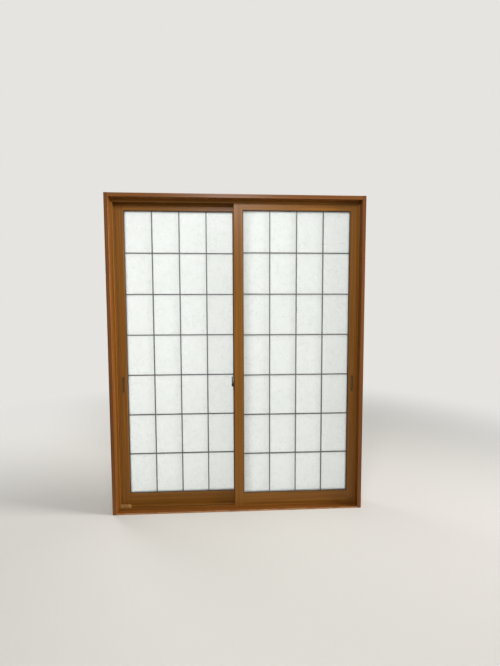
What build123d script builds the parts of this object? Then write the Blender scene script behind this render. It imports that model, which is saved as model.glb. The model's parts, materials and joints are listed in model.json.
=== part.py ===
"""A pair of shoji sliding sashes in their two-track frame and wood casing.

Sizes are in millimetres. X runs along the opening, Y away from the room and Z up. The origin is
on the floor, at the middle of the casing's width and depth. The right sash runs in the track
nearer the room, and the left sash is its mirror image in the rear track.
"""
import os

from build123d import *

# Wood casing
casing_width = 1600.0
casing_height = 2000.0
casing_depth = 116.0
casing_face = 24.0
sill_thickness = 10.0
casing_arris = 2.0
board_groove_setback = 10.0
board_groove_width = 12.5
board_groove_depth = 5.0

# Track frame, a resin extrusion on each side of the opening
track_setback = 41.5
track_lip = 3.2
track_rib = 2.4
jamb_web = 2.5
head_web = 3.0
sill_web = 3.0
jamb_lip_reach = 11.0
jamb_rib_reach = 11.0
head_lip_drop = 17.0
head_rib_drop = 24.0
sill_lip_rise = 8.0
track_tip_round = 0.9
relief_depth = 0.8
relief_width = 20.0

# Sashes
sash_thickness = 28.0
side_clearance = 1.3
end_gap = 1.5
left_end_gap = 6.5
floor_gap = 2.0
lift_gap = 7.0
meeting_reach = 24.0
outer_stile = 54.0
meeting_stile = 56.0
top_rail = 46.0
bottom_rail = 80.0
sash_wall = 2.5
sash_arris = 1.5
chamber_divider = 17.0
groove_height = 28.0
runner_notch_width = 12.0
runner_notch_clearance = 4.0

# Double glazing with the lattice between its two panes
glazing_lip = 5.0
glazing_depth = 12.0
glazing_bite = 8.0
gasket_seat = 1.0
gasket_face = 5.0
gasket_stem = 6.0
gasket_setback = 2.0
gasket_slope = 30.0
pane_thickness = 3.0
edge_seal = 3.0
spacer_width = 7.0
columns = 4
rows = 7
bar_width = 7.0
bar_depth = 6.0

# Runner rails and rollers
runner_base_width = 9.0
runner_base_thickness = 1.2
runner_rib = 3.0
runner_round_share = 0.45
runner_height = 5.0
wheel_tread_radius = 9.5
wheel_flange = 1.5
wheel_width = 10.0
wheel_groove = 4.0
wheel_arris = 0.5
wheel_clearance = 0.3
roller_pin_radius = 2.0
roller_pin_end = 0.5
running_fit = 0.05
press_gap = 0.02
case_length = 60.0
case_thickness = 1.5
case_width = 18.0
case_inset = 45.0
case_cheek_drop = 4.8

# Finger pulls
pull_height = 110.0
pull_width = 20.0
pull_center_z = 817.0
pull_center = 30.5
pull_flange = 1.0
pull_edge = 0.6
pull_fit = 0.1
pull_rim = 2.7
pull_depth = 9.0
pull_wall = 1.2

# Crescent lock
lock_z = 812.0
lock_plate_height = 66.0
lock_plate_width = 22.0
lock_plate_thickness = 3.0
lock_plate_corner = 4.0
lock_screw_spacing = 50.0
lock_play = 0.4
cam_radius = 20.6
cam_thickness = 4.5
cam_chord = 6.0
hub_radius = 8.0
lever_width = 6.5
lever_gap = 3.2
lever_reach = 53.0
lever_tip_radius = 4.0
lever_lean = 4.0
lever_arris = 1.8
lock_pin_radius = 3.0
lock_pin_head_radius = 4.6
lock_pin_head = 1.5
lock_pin_depth = 12.0
keeper_thickness = 1.6
keeper_height = 36.0
keeper_reach = 31.0
keeper_border = 4.0
keeper_corner = 2.0
keeper_play = 0.6
keeper_slot_height = 24.0
keeper_screw_inset = 9.0
keeper_screw_spacing = 22.0

# Seals, guides and stops
pile_base = 1.0
pile_width = 5.0
pile_edge = 1.0
meeting_pile_depth = 2.2
meeting_pile_inset = 5.0
seal_clearance = 0.3
guide_height = 3.5
guide_length = 30.0
guide_plug = 12.0
guide_fit = 0.3
guide_corner = 0.9
draught_length = 40.0
draught_drop = 6.0
draught_cover = 7.0
stop_length = 70.0
stop_nose_length = 20.0
stop_nose_drop = 6.0
stop_height = 14.0
stop_fit = 0.3
stop_corner = 3.0
buffer_height = 60.0
buffer_width = 16.0
buffer_corner = 4.0
buffer_inset = 150.0

# Screws
screw_radius = 2.0
screw_head_radius = 4.0
screw_head_depth = 2.0
screw_clearance = 0.1
casing_screw_length = 60.0
casing_screw_setbacks = (40.0, 93.0)
track_screw_length = 22.0
screw_end_cover = 3.0
track_screw_end = 120.0
track_screw_count = 4
corner_screw_length = 80.0
port_radius = 4.0
screw_edge = 1.0
short_screw_length = 14.0

# How far a cut runs past the face that it goes through
cut_past = 0.5

# Fixing holes through both jambs, hidden in the channels
fixing_hole_radius = 2.75
fixing_head_radius = 5.0
fixing_low_z = 250.0
fixing_high_z = 1750.0

# Places worked out from the sizes above
front_y = -casing_depth / 2
back_y = casing_depth / 2
reveal_x = casing_width / 2 - casing_face
head_z = casing_height - casing_face
channel = sash_thickness + 2 * side_clearance
track_pitch = channel + track_rib
track_y0 = front_y + track_setback
track_y1 = track_y0 + 2 * track_lip + 2 * channel + track_rib
front_track_y = track_y0 + track_lip + channel / 2
rear_track_y = front_track_y + track_pitch
web_x = reveal_x - jamb_web
web_top_z = head_z - head_web
web_bottom_z = sill_thickness + sill_web
runner_top_z = web_bottom_z + runner_height

half_sash = sash_thickness / 2
outer_x = web_x - end_gap
meeting_x = -meeting_reach
sash_bottom_z = web_bottom_z + floor_gap
sash_top_z = web_top_z - lift_gap
left_shift = left_end_gap - end_gap

glass_x0 = meeting_x + meeting_stile
glass_x1 = outer_x - outer_stile
glass_z0 = sash_bottom_z + bottom_rail
glass_z1 = sash_top_z - top_rail
half_channel = half_sash - glazing_lip
pane_front_y = -half_channel + gasket_seat
cavity_half = -pane_front_y - pane_thickness
day_x0 = glass_x0 + gasket_face
day_x1 = glass_x1 - gasket_face
day_z0 = glass_z0 + gasket_face
day_z1 = glass_z1 - gasket_face
cell_width = (day_x1 - day_x0 - (columns - 1) * bar_width) / columns
cell_height = (day_z1 - day_z0 - (rows - 1) * bar_width) / rows

groove_top_z = sash_bottom_z + groove_height
wheel_z = runner_top_z + wheel_tread_radius + wheel_clearance
wheel_xs = (glass_x0 + case_inset, glass_x1 - case_inset)

plate_x = meeting_x - lock_plate_thickness
cam_x1 = plate_x - lock_play
cam_x0 = cam_x1 - cam_thickness
lever_x1 = cam_x0 - lever_gap
lever_x0 = lever_x1 - lever_width
keeper_y = -half_sash - keeper_thickness


def span(a0, a1, b0, b1):
    """A rectangle between two opposite corners."""
    return Pos((a0 + a1) / 2, (b0 + b1) / 2) * Rectangle(abs(a1 - a0), abs(b1 - b0))


def along_x(section, x0, x1):
    """Run a section drawn in Y and Z from x0 to x1."""
    return extrude(Plane.YZ.offset(x0) * section, amount=x1 - x0)


def along_y(section, y0, y1, taper=0.0):
    """Run a section drawn in X and Z from y0 to y1."""
    return extrude(Plane.XZ.offset(-y0) * section, amount=y0 - y1, taper=taper)


def along_z(section, z0, z1):
    """Run a section drawn in X and Y from z0 to z1."""
    return extrude(Plane.XY.offset(z0) * section, amount=z1 - z0)


def toward(direction):
    """A rotation that turns the +Z axis to an axis direction given by name."""
    turns = {"+x": (0, 90, 0), "-x": (0, -90, 0), "+y": (-90, 0, 0), "-y": (90, 0, 0),
             "+z": (0, 0, 0), "-z": (180, 0, 0)}
    return Rotation(*turns[direction])


def screw(head_at, direction, length, grow=0.0):
    """A countersunk screw with its flat head at head_at; grow turns it into its hole."""
    radius = screw_radius + grow
    head = screw_head_radius + grow
    outline = make_face(Polyline((0, 0), (head, 0), (radius, screw_head_depth + grow),
                                 (radius, length + grow), (0, length + grow), close=True))
    turned = revolve(Plane.XZ * outline, axis=Axis.Z)
    return Pos(*head_at) * toward(direction) * turned


def screws(places):
    """The screws of a list of places, each a head place, a direction and a length."""
    return [screw(head_at, direction, length) for head_at, direction, length in places]


def screw_holes(places):
    """Clearance holes for the screws of a list of places."""
    return [screw(head_at, direction, length, screw_clearance)
            for head_at, direction, length in places]


def cut_all(piece, cutters):
    """Take every cutter away from a piece."""
    for cutter in cutters:
        piece = piece - cutter
    return piece


# Casing


def casing_screw_places():
    """The screws that join the casing's corners."""
    levels = (head_z + casing_face / 2, sill_thickness / 2)
    places = []
    for side, direction in ((1, "-x"), (-1, "+x")):
        for setback in casing_screw_setbacks:
            for level in levels:
                head_at = (side * casing_width / 2, front_y + setback, level)
                places.append((head_at, direction, casing_screw_length))
    return places


def fixing_places(side):
    """Centres of the four fixing holes of one jamb, at its inner face."""
    levels = (fixing_low_z, fixing_high_z)
    return [(side * web_x, y, z) for y in (front_track_y, rear_track_y) for z in levels]


def track_screw_places():
    """The screws that hold the track frame to the casing, shorter in the thin sill."""
    places = []
    rise = (casing_height - 2 * track_screw_end) / (track_screw_count - 1)
    run = 2 * (web_x - track_screw_end) / (track_screw_count - 1)
    offset = (runner_base_width + channel) / 4
    sill_length = sill_web + sill_thickness - screw_end_cover
    for i in range(track_screw_count):
        z = track_screw_end + i * rise
        x = -web_x + track_screw_end + i * run
        places.append(((web_x, rear_track_y, z), "+x", track_screw_length))
        places.append(((-web_x, front_track_y, z), "-x", track_screw_length))
        places.append(((x, front_track_y, web_top_z), "+z", track_screw_length))
        places.append(((x, front_track_y - offset, web_bottom_z), "-z", sill_length))
    return places


def casing_holes():
    """Every screw hole that reaches into the casing."""
    return screw_holes(casing_screw_places() + track_screw_places())


def casing_jamb(side):
    """One upright board, with a groove in its back for the wallboard's edge."""
    outline = span(reveal_x, casing_width / 2, front_y, back_y)
    front_corners = outline.vertices().filter_by(lambda v: v.Y < front_y + casing_arris)
    outline = fillet(front_corners, casing_arris)
    groove_y = front_y + board_groove_setback
    outline -= span(casing_width / 2 - board_groove_depth, casing_width / 2,
                    groove_y, groove_y + board_groove_width)
    board = along_z(outline, 0, casing_height)
    if side < 0:
        board = mirror(board, about=Plane.YZ)
    bores = [Pos((side * (reveal_x + casing_width / 2) / 2), y, z) * toward("+x")
             * Cylinder(fixing_hole_radius, casing_face + 2 * cut_past)
             for _, y, z in fixing_places(side)]
    return cut_all(board, bores + casing_holes())


def casing_head():
    """The top board, between the jambs, grooved like them."""
    outline = span(front_y, back_y, head_z, casing_height)
    front_corners = outline.vertices().filter_by(lambda v: v.X < front_y + casing_arris)
    outline = fillet(front_corners, casing_arris)
    groove_y = front_y + board_groove_setback
    outline -= span(groove_y, groove_y + board_groove_width,
                    casing_height - board_groove_depth, casing_height)
    return cut_all(along_x(outline, -reveal_x, reveal_x), casing_holes())


def casing_sill():
    """The low threshold board, with its front edge rounded over."""
    outline = span(front_y, back_y, 0, sill_thickness)
    top_front = outline.vertices().sort_by(lambda v: v.X - v.Y)[0]
    outline = fillet(top_front, casing_arris)
    return cut_all(along_x(outline, -reveal_x, reveal_x), casing_holes())


# Track frame


def comb(web, lip, rib):
    """Section of a track member: a web on the wall side at 0, two lips and a middle rib."""
    lips = ((track_y0, track_y0 + track_lip, lip),
            (front_track_y + channel / 2, rear_track_y - channel / 2, rib),
            (track_y1 - track_lip, track_y1, lip))
    section = span(0, web, track_y0, track_y1)
    for y0, y1, reach in lips:
        section += span(0, reach, y0, y1)
    tips = section.vertices().filter_by(lambda v: v.X > web + track_tip_round)
    section = fillet(tips, track_tip_round)
    for y in (front_track_y, rear_track_y):
        section -= span(0, relief_depth, y - relief_width / 2, y + relief_width / 2)
    return section


def track_jamb(side):
    """One upright track, from casing to casing, with its lips between the head and the sill."""
    member = along_z(comb(jamb_web, jamb_lip_reach, jamb_rib_reach), sill_thickness, head_z)
    for z0, z1 in ((sill_thickness, web_bottom_z), (web_top_z, head_z)):
        end = span(jamb_web, jamb_lip_reach + jamb_rib_reach, track_y0, track_y1)
        member -= along_z(end, z0, z1)
    member = Pos(reveal_x, 0, 0) * mirror(member, about=Plane.YZ)
    if side < 0:
        member = mirror(member, about=Plane.YZ)
    sink = [Pos(*place) * toward("+x") * Cylinder(fixing_head_radius, 2 * (jamb_web + cut_past))
            for place in fixing_places(side)]
    return cut_all(member, sink + screw_holes(track_screw_places()))


def crosswise_track(web, lip, rib, wall_z, inward):
    """A head or sill track: its web spans the jambs' webs, and its lips stop at their lips."""
    section = comb(web, lip, rib)
    member = along_z(section, -web_x, web_x)
    lip_x, rib_x = reveal_x - jamb_lip_reach, reveal_x - jamb_rib_reach
    for keep_x, y0, y1 in ((lip_x, track_y0, track_y0 + track_lip),
                           (rib_x, front_track_y + channel / 2, rear_track_y - channel / 2),
                           (lip_x, track_y1 - track_lip, track_y1)):
        tip = span(web, lip + rib, y0, y1)
        member -= along_z(tip, keep_x, web_x)
        member -= along_z(tip, -web_x, -keep_x)
    lying = Plane(origin=(0, 0, wall_z), x_dir=(0, 0, inward), z_dir=(-inward, 0, 0))
    member = lying.location * member
    return cut_all(member, screw_holes(track_screw_places()))


def runner(y):
    """An aluminium rail with a flat foot and a round-topped rib."""
    section = span(-runner_base_width / 2, runner_base_width / 2, 0, runner_base_thickness)
    section += span(-runner_rib / 2, runner_rib / 2, 0, runner_height)
    tips = section.vertices().group_by(Axis.Y)[-1]
    section = fillet(tips, runner_round_share * runner_rib)
    return along_x(Pos(y, web_bottom_z) * section, -web_x, web_x)


def stop_block(side, y):
    """A block astride the runner, with a sloped nose.

    It stops the sash before its lock can meet the other sash's outer stile.
    """
    half = channel / 2 - stop_fit
    section = span(-half, half, 0, stop_height)
    section = fillet(section.vertices().group_by(Axis.Y)[-1], stop_corner)
    section -= span(-runner_base_width / 2 - stop_fit, runner_base_width / 2 + stop_fit,
                    0, runner_base_thickness + stop_fit)
    section -= span(-runner_rib / 2 - stop_fit, runner_rib / 2 + stop_fit,
                    0, runner_height + stop_fit)
    nose_x, top_z = web_x - stop_length, web_bottom_z + stop_height
    block = along_x(Pos(y, web_bottom_z) * section, nose_x, web_x)
    slope = make_face(Polyline((nose_x, top_z), (nose_x + stop_nose_length, top_z),
                               (nose_x, top_z - stop_nose_drop), close=True))
    block -= along_y(slope, y - channel / 2, y + channel / 2)
    if side < 0:
        block = mirror(block, about=Plane.YZ)
    return block


def jamb_buffers():
    """Rubber pads in the jamb pockets that the closed sashes rest against."""
    pads = []
    for side, y, gap in ((1, front_track_y, end_gap), (-1, rear_track_y, left_end_gap)):
        for z in (buffer_inset, casing_height - buffer_inset):
            face = Pos(y, z) * RectangleRounded(buffer_width, buffer_height, buffer_corner)
            pad = along_x(face, web_x - gap + seal_clearance, web_x)
            pads.append(mirror(pad, about=Plane.YZ) if side < 0 else pad)
    return pads


def draught_blocks():
    """Soft blocks over the middle ribs, which close the gap between the meeting stiles."""
    middle_y = (front_track_y + rear_track_y) / 2
    half = track_rib / 2 + side_clearance - seal_clearance
    rib_tip = head_z - head_rib_drop
    top = span(middle_y - half, middle_y + half, rib_tip - draught_drop, rib_tip + draught_cover)
    top -= span(middle_y - track_rib / 2, middle_y + track_rib / 2, rib_tip, web_top_z)
    sill_tip = sill_thickness + sill_lip_rise
    low = span(middle_y - half, middle_y + half, web_bottom_z, sill_tip + draught_drop)
    low -= span(middle_y - track_rib / 2, middle_y + track_rib / 2, web_bottom_z, sill_tip)
    return [along_x(part, -draught_length / 2, draught_length / 2) for part in (top, low)]


# Sash profiles. A sash is drawn in the right sash's closed place, about its own middle plane.


def stile_section(width, edge_x, inward):
    """Section of a hollow stile with two chambers and a channel for the glass."""
    def across(a, b, half):
        """A rectangle from a to b inward of the stile's edge, across its middle plane."""
        return span(edge_x + inward * a, edge_x + inward * b, -half, half)

    section = across(0, width, half_sash)
    section = fillet(section.vertices(), sash_arris)
    chamber_end = width - glazing_depth - sash_wall
    inside = half_sash - sash_wall
    section -= across(sash_wall, chamber_divider, inside)
    section -= across(chamber_divider + sash_wall, chamber_end, inside)
    section -= across(width - glazing_depth, width, half_channel)
    return section


def corner_screw_levels():
    """Heights of the screws that join the rails to the stiles."""
    inset = sash_wall + screw_radius + screw_edge
    low_chamber = groove_top_z + inset
    high_chamber = glass_z0 - glazing_depth - inset
    return (low_chamber, high_chamber, sash_top_z - inset)


def corner_screw_places():
    """The six screws that join the stiles to the rails."""
    return [((x, 0, z), direction, corner_screw_length)
            for x, direction in ((outer_x, "-x"), (meeting_x, "+x"))
            for z in corner_screw_levels()]


def stile(width, edge_x, inward):
    """A full-height stile, notched below for the runner and drilled for the corner screws."""
    member = along_z(stile_section(width, edge_x, inward), sash_bottom_z, sash_top_z)
    notch_top = runner_top_z + runner_notch_clearance
    notch = span(edge_x - inward * cut_past, edge_x + inward * (width + cut_past),
                 -runner_notch_width / 2, runner_notch_width / 2)
    member -= along_z(notch, sash_bottom_z, notch_top)
    return cut_all(member, screw_holes(corner_screw_places()))


def outer_stile_piece():
    """The stile at the jamb, with the slot for the finger pull."""
    member = stile(outer_stile, outer_x, -1)
    return member - along_y(pull_outline(pull_fit - pull_rim),
                            -half_sash - cut_past, -half_sash + sash_wall)


def meeting_stile_piece(locked):
    """The stile at the middle, drilled for the lock or for its keeper."""
    member = stile(meeting_stile, meeting_x, 1)
    if locked:
        pin_hole = Cylinder(lock_pin_radius + screw_clearance, 2 * lock_pin_depth)
        member -= Pos(meeting_x, 0, lock_z) * toward("+x") * pin_hole
        return cut_all(member, screw_holes(lock_screw_places()))
    return cut_all(member, screw_holes(keeper_screw_places()))


def screw_port(z):
    """A round port inside a rail, joined to the wall beside it, for a corner screw."""
    return Pos(0, z) * Circle(port_radius)


def rail(section):
    """Run a rail's section between the two stiles and drill its screw ports."""
    member = along_x(section, glass_x0, glass_x1)
    return cut_all(member, screw_holes(corner_screw_places()))


def top_rail_piece():
    """The hollow top rail, with the glass channel in its underside."""
    inside = half_sash - sash_wall
    section = span(-half_sash, half_sash, glass_z1, sash_top_z)
    section = fillet(section.vertices(), sash_arris)
    section -= span(-half_channel, half_channel, glass_z1, glass_z1 + glazing_depth)
    section -= span(-inside, inside, glass_z1 + glazing_depth + sash_wall, sash_top_z - sash_wall)
    return rail(section + screw_port(corner_screw_levels()[2]))


def bottom_rail_piece():
    """The tall bottom rail: a groove for the rollers, a chamber and the glass channel."""
    inside = half_sash - sash_wall
    section = span(-half_sash, half_sash, sash_bottom_z, glass_z0)
    section = fillet(section.vertices().filter_by(lambda v: v.Y > groove_top_z), sash_arris)
    section -= span(-half_channel, half_channel, glass_z0 - glazing_depth, glass_z0)
    section -= span(-inside, inside, groove_top_z + sash_wall, glass_z0 - glazing_depth - sash_wall)
    section -= span(-inside, inside, sash_bottom_z, groove_top_z)
    for level in corner_screw_levels()[:2]:
        section += screw_port(level)
    return rail(section)


# Glazing


def pane(y0, y1):
    """A sheet of glass that reaches into the channels of all four members."""
    sheet = span(glass_x0 - glazing_bite, glass_x1 + glazing_bite,
                 glass_z0 - glazing_bite, glass_z1 + glazing_bite)
    return along_y(sheet, y0, y1)


def ring(outer, inner):
    """A rectangular ring, each side set in from the sash members' inner edges."""
    big = span(glass_x0 + outer, glass_x1 - outer, glass_z0 + outer, glass_z1 - outer)
    return big - span(glass_x0 + inner, glass_x1 - inner, glass_z0 + inner, glass_z1 - inner)


def spacer():
    """The bar round the edge that keeps the two panes apart."""
    outer = edge_seal - glazing_bite
    return along_y(ring(outer, outer + spacer_width), -cavity_half, cavity_half)


def gasket():
    """The dark room-side gasket: a stem beside the glass and a sloped face against the lip."""
    stem = along_y(ring(-gasket_stem, 0), -half_channel, pane_front_y)
    face_y = -half_sash + gasket_setback
    face = along_y(span(glass_x0, glass_x1, glass_z0, glass_z1), face_y, pane_front_y)
    opening = span(day_x0, day_x1, day_z0, day_z1)
    return stem + face - along_y(opening, pane_front_y, face_y, taper=-gasket_slope)


def lattice_span():
    """Where the bars end, against the spacer on each side."""
    end = edge_seal - glazing_bite + spacer_width
    return glass_x0 + end, glass_x1 - end, glass_z0 + end, glass_z1 - end


def upright_xs():
    """Middle of each upright bar."""
    first = day_x0 + cell_width + bar_width / 2
    return [first + i * (cell_width + bar_width) for i in range(columns - 1)]


def crossbar_zs():
    """Middle of each crossbar."""
    first = day_z0 + cell_height + bar_width / 2
    return [first + i * (cell_height + bar_width) for i in range(rows - 1)]


def lattice():
    """Uprights and crossbars, halved into each other where they cross."""
    x0, x1, z0, z1 = lattice_span()
    half_w, half_d = bar_width / 2, bar_depth / 2
    uprights = []
    for x in upright_xs():
        bar = span(x - half_w, x + half_w, z0, z1)
        laps = [span(x - half_w, x + half_w, z - half_w, z + half_w) for z in crossbar_zs()]
        uprights.append(cut_all(along_y(bar, -half_d, half_d),
                                [along_y(lap, 0, half_d) for lap in laps]))
    crossbars = []
    for z in crossbar_zs():
        bar = span(x0, x1, z - half_w, z + half_w)
        laps = [span(x - half_w, x + half_w, z - half_w, z + half_w) for x in upright_xs()]
        crossbars.append(cut_all(along_y(bar, -half_d, half_d),
                                 [along_y(lap, -half_d, 0) for lap in laps]))
    return uprights, crossbars


# Pull, rollers, guides and seals


def pull_outline(grow):
    """The pull's outline with round ends, drawn larger or smaller all round by grow."""
    slot = SlotOverall(pull_height + 2 * grow, pull_width + 2 * grow, rotation=90)
    return Pos(outer_x - pull_center, pull_center_z) * slot


def finger_pull():
    """A recessed cup with a thin flange, let into the outer stile."""
    face_y = -half_sash - pull_flange
    flange = along_y(pull_outline(0), face_y, -half_sash)
    flange = fillet(flange.edges().group_by(Axis.Y)[0], pull_edge)
    cup = along_y(pull_outline(-pull_rim), -half_sash, -half_sash + pull_depth + pull_wall)
    hollow = along_y(pull_outline(-pull_rim - pull_wall), face_y, -half_sash + pull_depth)
    return flange + cup - hollow


def wheel(x):
    """A grooved wheel that runs on the rounded rail."""
    bore = roller_pin_radius + running_fit
    rim = wheel_tread_radius + wheel_flange
    half, lip = wheel_width / 2, wheel_groove / 2
    points = [(bore, -half), (rim - wheel_arris, -half), (rim, -half + wheel_arris),
              (rim, -lip - wheel_arris), (wheel_tread_radius, -lip), (wheel_tread_radius, lip),
              (rim, lip + wheel_arris), (rim, half - wheel_arris), (rim - wheel_arris, half),
              (bore, half)]
    turned = revolve(make_face(Polyline(*points, close=True)), axis=Axis.Y)
    return Pos(x, 0, wheel_z) * turned


def roller_cases():
    """Folded steel cases under the bottom rail's web, one round each wheel."""
    half = case_width / 2
    cheek_bottom = wheel_z - case_cheek_drop
    section = span(-half, half, cheek_bottom, groove_top_z)
    section -= span(-half + case_thickness, half - case_thickness,
                    cheek_bottom, groove_top_z - case_thickness)
    pieces = []
    for x in wheel_xs:
        shell = along_x(section, x - case_length / 2, x + case_length / 2)
        hole = Cylinder(roller_pin_radius + press_gap, case_width + 2 * cut_past)
        pieces.append(shell - Pos(x, 0, wheel_z) * toward("+y") * hole)
    return pieces


def roller_pins():
    """The wheels' axles, held in the cases' cheeks."""
    pin = toward("+y") * Cylinder(roller_pin_radius, case_width + 2 * roller_pin_end)
    return [Pos(x, 0, wheel_z) * pin for x in wheel_xs]


def top_guides():
    """Low-friction caps in the stiles' top ends, which run between the head's lips."""
    half = channel / 2 - guide_fit
    inside = half_sash - sash_wall - guide_fit
    caps = []
    for edge_x, inward, width in ((outer_x, -1, outer_stile), (meeting_x, 1, meeting_stile)):
        x0 = edge_x + inward * (width - guide_length) / 2
        cap = span(x0, x0 + inward * guide_length, -half, half)
        cap = fillet(cap.vertices(), guide_corner)
        plug0 = edge_x + inward * (chamber_divider + sash_wall + guide_fit)
        plug1 = edge_x + inward * (width - glazing_depth - sash_wall - guide_fit)
        plug = span(plug0, plug1, -inside, inside)
        piece = along_z(cap, sash_top_z, sash_top_z + guide_height)
        piece += along_z(plug, sash_top_z - guide_plug, sash_top_z)
        caps.append(cut_all(piece, screw_holes(corner_screw_places())))
    return caps


def pile_seals(meeting_side):
    """Pile strips on the top rail, on the outer stile and between the meeting stiles."""
    strips = []
    top_z0, top_z1 = sash_top_z - pile_edge - pile_width, sash_top_z - pile_edge
    low_z, high_z = sill_thickness + sill_lip_rise + pile_edge, head_z - head_rib_drop - pile_edge
    for face in (-1, 1):
        near, far = face * half_sash, face * (half_sash + pile_base)
        y0, y1 = min(near, far), max(near, far)
        strips.append(along_y(span(glass_x0, glass_x1, top_z0, top_z1), y0, y1))
        strips.append(along_y(span(outer_x - sash_arris - pile_width, outer_x - sash_arris,
                                   low_z, high_z), y0, y1))
    near, far = meeting_side * half_sash, meeting_side * (half_sash + meeting_pile_depth)
    low_z += draught_drop + pile_edge
    high_z -= draught_drop + pile_edge
    x0 = meeting_x + meeting_pile_inset
    strips.append(along_y(span(x0, x0 + pile_width, low_z, high_z), min(near, far), max(near, far)))
    return strips


# Crescent lock


def lock_screw_places():
    """The screws through the lock's plate."""
    half = lock_screw_spacing / 2
    return [((plate_x, 0, lock_z + side * half), "+x", short_screw_length) for side in (-1, 1)]


def lock_plate():
    """The plate on the meeting stile's edge that carries the lock's pin."""
    face = Pos(0, lock_z) * RectangleRounded(lock_plate_width, lock_plate_height, lock_plate_corner)
    plate = along_x(face, plate_x, meeting_x)
    bore = Cylinder(lock_pin_radius + press_gap, 4 * lock_plate_thickness)
    plate -= Pos(plate_x, 0, lock_z) * toward("+x") * bore
    return cut_all(plate, screw_holes(lock_screw_places()))


def lock_pin():
    """The pin that the lever turns on, with a head outside the lever."""
    head_x = lever_x0 - lock_play
    reach = meeting_x + lock_pin_depth - head_x
    shank = Pos(head_x, 0, lock_z) * toward("+x") * Cylinder(
        lock_pin_radius, reach, align=(Align.CENTER, Align.CENTER, Align.MIN))
    head = Pos(head_x, 0, lock_z) * toward("-x") * Cylinder(
        lock_pin_head_radius, lock_pin_head, align=(Align.CENTER, Align.CENTER, Align.MIN))
    return shank + head


def lock_lever():
    """The crescent cam, its hub and the finger lever out from it, in one piece, lever up."""
    hub = Circle(hub_radius)
    tip = Pos(-lever_lean, lever_reach) * Circle(lever_tip_radius)
    arm = make_hull(hub.edges() + tip.edges())
    lever = along_x(Pos(0, lock_z) * arm, lever_x0, lever_x1)
    lever = fillet(lever.edges().group_by(Axis.X)[0], lever_arris)
    far = cam_radius + cut_past
    crescent = Circle(cam_radius) - span(-cam_chord, far, -far, far)
    cam = along_x(Pos(0, lock_z) * crescent, cam_x0, cam_x1)
    boss = along_x(Pos(0, lock_z) * hub, lever_x1, cam_x1)
    bore = Cylinder(lock_pin_radius + running_fit, 2 * (cam_x1 - lever_x0))
    return lever + boss + cam - Pos(cam_x0, 0, lock_z) * toward("+x") * bore


def keeper_slot():
    """The slot's two sides, over the cam, drawn in the right sash's place."""
    middle = left_shift - (cam_x0 + cam_x1) / 2
    half = cam_thickness / 2 + keeper_play
    return middle - half, middle + half


def keeper_screw_places():
    """The screws that hold the keeper to the stile, drawn in the right sash's place."""
    x = keeper_slot()[0] - keeper_reach + keeper_screw_inset
    half = keeper_screw_spacing / 2
    return [((x, keeper_y, lock_z + side * half), "+y", short_screw_length) for side in (-1, 1)]


def keeper():
    """A flat plate on the rear meeting stile, with the slot that takes the crescent cam."""
    slot0, slot1 = keeper_slot()
    half = keeper_height / 2
    plate = span(slot0 - keeper_reach, slot1 + keeper_border, lock_z - half, lock_z + half)
    plate = fillet(plate.vertices(), keeper_corner)
    half_slot = keeper_slot_height / 2
    plate -= span(slot0, slot1, lock_z - half_slot, lock_z + half_slot)
    solid = along_y(plate, keeper_y, -half_sash)
    return cut_all(solid, screw_holes(keeper_screw_places()))


# The whole assembly


def sash_pieces(locked):
    """Each piece of a sash by name; locked is true for the sash that carries the lock."""
    uprights, crossbars = lattice()
    return {
        "outer_stile": [outer_stile_piece()],
        "meeting_stile": [meeting_stile_piece(locked)],
        "top_rail": [top_rail_piece()],
        "bottom_rail": [bottom_rail_piece()],
        "room_pane": [pane(pane_front_y, -cavity_half)],
        "washi_pane": [pane(cavity_half, -pane_front_y)],
        "spacer": [spacer()],
        "lattice_uprights": uprights,
        "lattice_crossbars": crossbars,
        "room_gasket": [gasket()],
        "outer_gasket": [mirror(gasket(), about=Plane.XZ)],
        "finger_pull": [finger_pull()],
        "roller_cases": roller_cases(),
        "roller_pins": roller_pins(),
        "wheel_inner": [wheel(wheel_xs[0])],
        "wheel_outer": [wheel(wheel_xs[1])],
        "top_guides": top_guides(),
        "corner_screws": screws(corner_screw_places()),
        "pile_seals": pile_seals(1 if locked else -1),
    }


def right_sash():
    """The sash nearer the room, with the crescent lock, in its closed place."""
    pieces = {"right_" + name: solids for name, solids in sash_pieces(True).items()}
    pieces["lock_plate"] = [lock_plate()]
    pieces["lock_pin"] = [lock_pin()]
    pieces["lock_lever"] = [lock_lever()]
    pieces["lock_screws"] = screws(lock_screw_places())
    place = Pos(0, front_track_y, 0)
    return {name: [place * solid for solid in solids] for name, solids in pieces.items()}


def left_sash():
    """The sash in the rear track, mirrored, with the lock's keeper, against its buffers."""
    pieces = {"left_" + name: solids for name, solids in sash_pieces(False).items()}
    pieces["keeper"] = [keeper()]
    pieces["keeper_screws"] = screws(keeper_screw_places())
    place = Pos(left_shift, rear_track_y, 0)
    return {name: [place * mirror(solid, about=Plane.YZ) for solid in solids]
            for name, solids in pieces.items()}


def frame():
    """The casing and the track frame, with all that is fixed to them."""
    return {
        "casing_head": [casing_head()],
        "casing_sill": [casing_sill()],
        "casing_jamb_left": [casing_jamb(-1)],
        "casing_jamb_right": [casing_jamb(1)],
        "casing_screws": screws(casing_screw_places()),
        "track_head": [crosswise_track(head_web, head_lip_drop, head_rib_drop, head_z, -1)],
        "track_sill": [crosswise_track(sill_web, sill_lip_rise, sill_lip_rise,
                                       sill_thickness, 1)],
        "track_jamb_left": [track_jamb(-1)],
        "track_jamb_right": [track_jamb(1)],
        "track_screws": screws(track_screw_places()),
        "runner_front": [runner(front_track_y)],
        "runner_rear": [runner(rear_track_y)],
        "stop_block_front": [stop_block(-1, front_track_y)],
        "stop_block_rear": [stop_block(1, rear_track_y)],
        "jamb_buffers": jamb_buffers(),
        "draught_blocks": draught_blocks(),
    }


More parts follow.
